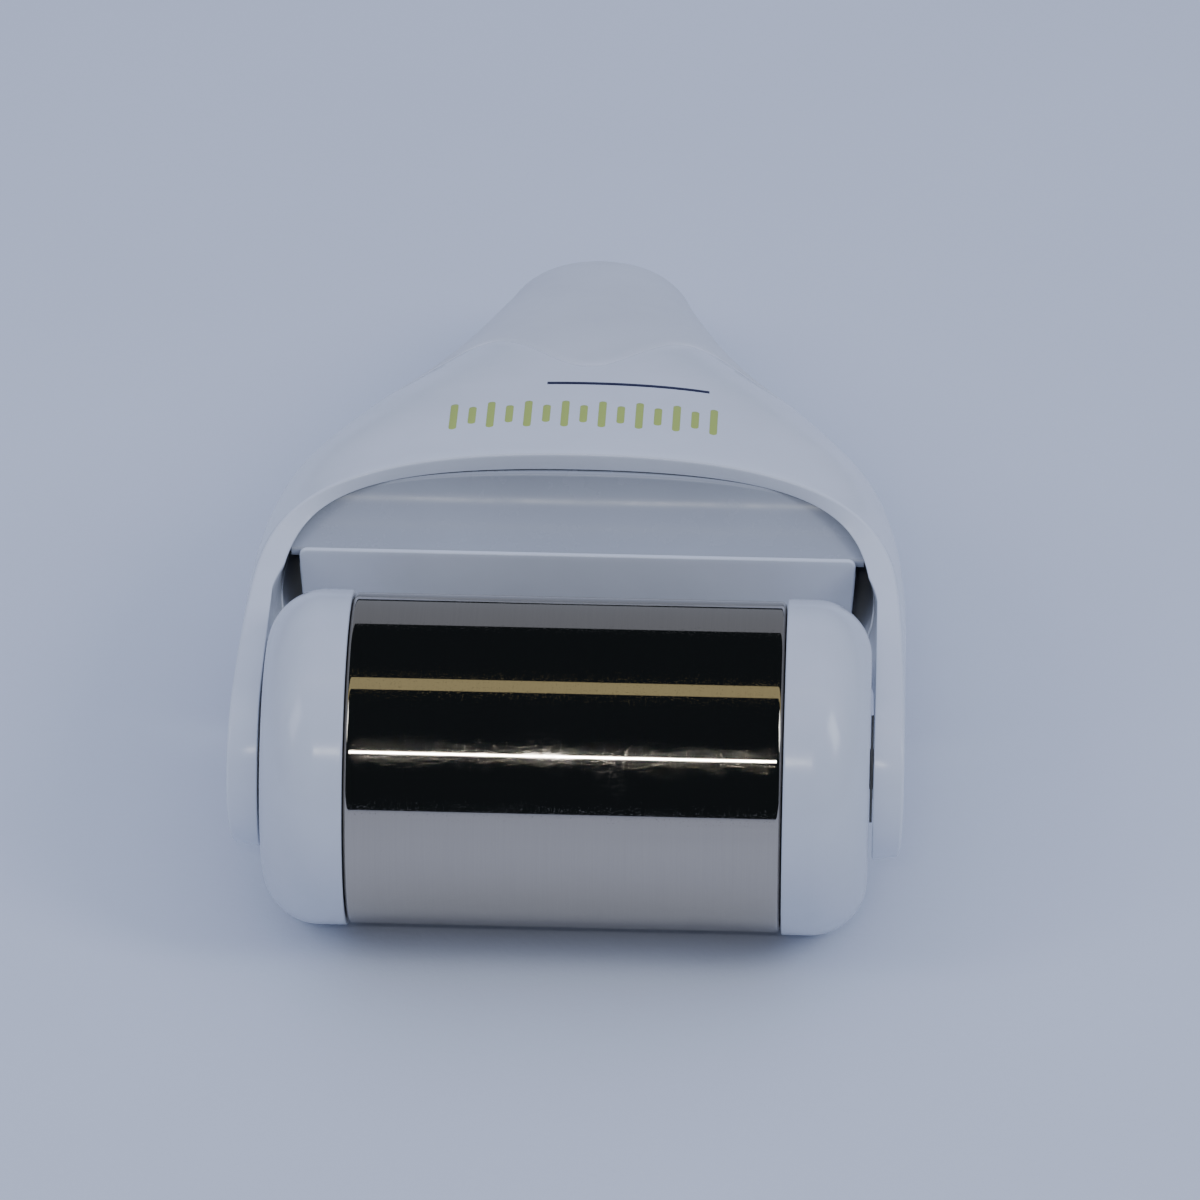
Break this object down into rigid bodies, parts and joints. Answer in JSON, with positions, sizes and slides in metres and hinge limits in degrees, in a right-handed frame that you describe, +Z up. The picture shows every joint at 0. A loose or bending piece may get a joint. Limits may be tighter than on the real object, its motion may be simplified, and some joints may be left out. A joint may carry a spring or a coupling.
{
  "type": "derma roller",
  "caption": "Cold facial and body roller: a polished steel barrel between white caps, turning in a white yoke that flares into a short handle",
  "frame": {"origin": "centre of the footprint, on the surface that the roller and the handle's foot rest on", "axes": "+X along the roller's axle, +Y from the roller to the end of the handle, +Z up"},
  "size_m": [0.1008, 0.1762, 0.05],
  "materials": {
    "white_shell": "white, smooth and glossy, moulded",
    "white_cap": "white, polished, moulded",
    "grip_plastic": "white, satin, moulded",
    "bridge_plastic": "off white, semi gloss, moulded",
    "polished_steel": "mirror-polished stainless steel with fine turning lines and handling marks",
    "plated_steel": "plain zinc-bright steel",
    "bearing_plastic": "natural acetal, matt",
    "inner_plastic": "light grey moulding, matt",
    "seal_rubber": "black elastomer",
    "cold_gel": "blue cold-pack gel"
  },
  "bodies": {
    "root": {"upper_shell": "white_shell", "lower_shell": "white_shell", "grip_cover": "grip_plastic", "front_bridge": "bridge_plastic", "shell_screws": "plated_steel", "screw_plugs": "grip_plastic", "axle_shaft": "plated_steel", "arm_bush_left": "bearing_plastic", "arm_bush_right": "bearing_plastic", "thrust_washer_left": "bearing_plastic", "thrust_washer_right": "bearing_plastic"},
    "roller": {"roller_barrel": "polished_steel", "roller_cap_left": "white_cap", "roller_cap_right": "white_cap", "cap_bearing_left": "bearing_plastic", "cap_bearing_right": "bearing_plastic", "end_bulkhead_left": "inner_plastic", "end_bulkhead_right": "inner_plastic", "outer_seal_left": "seal_rubber", "outer_seal_right": "seal_rubber", "inner_seal_left": "seal_rubber", "inner_seal_right": "seal_rubber", "core_tube": "inner_plastic", "gel_core": "cold_gel", "fill_plug": "seal_rubber"}
  },
  "joints": [
    {"name": "roller_spin", "type": "hinge", "parent": "root", "child": "roller", "pos_m": [0, -0.06314, 0.025], "axis": [1, 0, 0], "continuous": true}
  ]
}
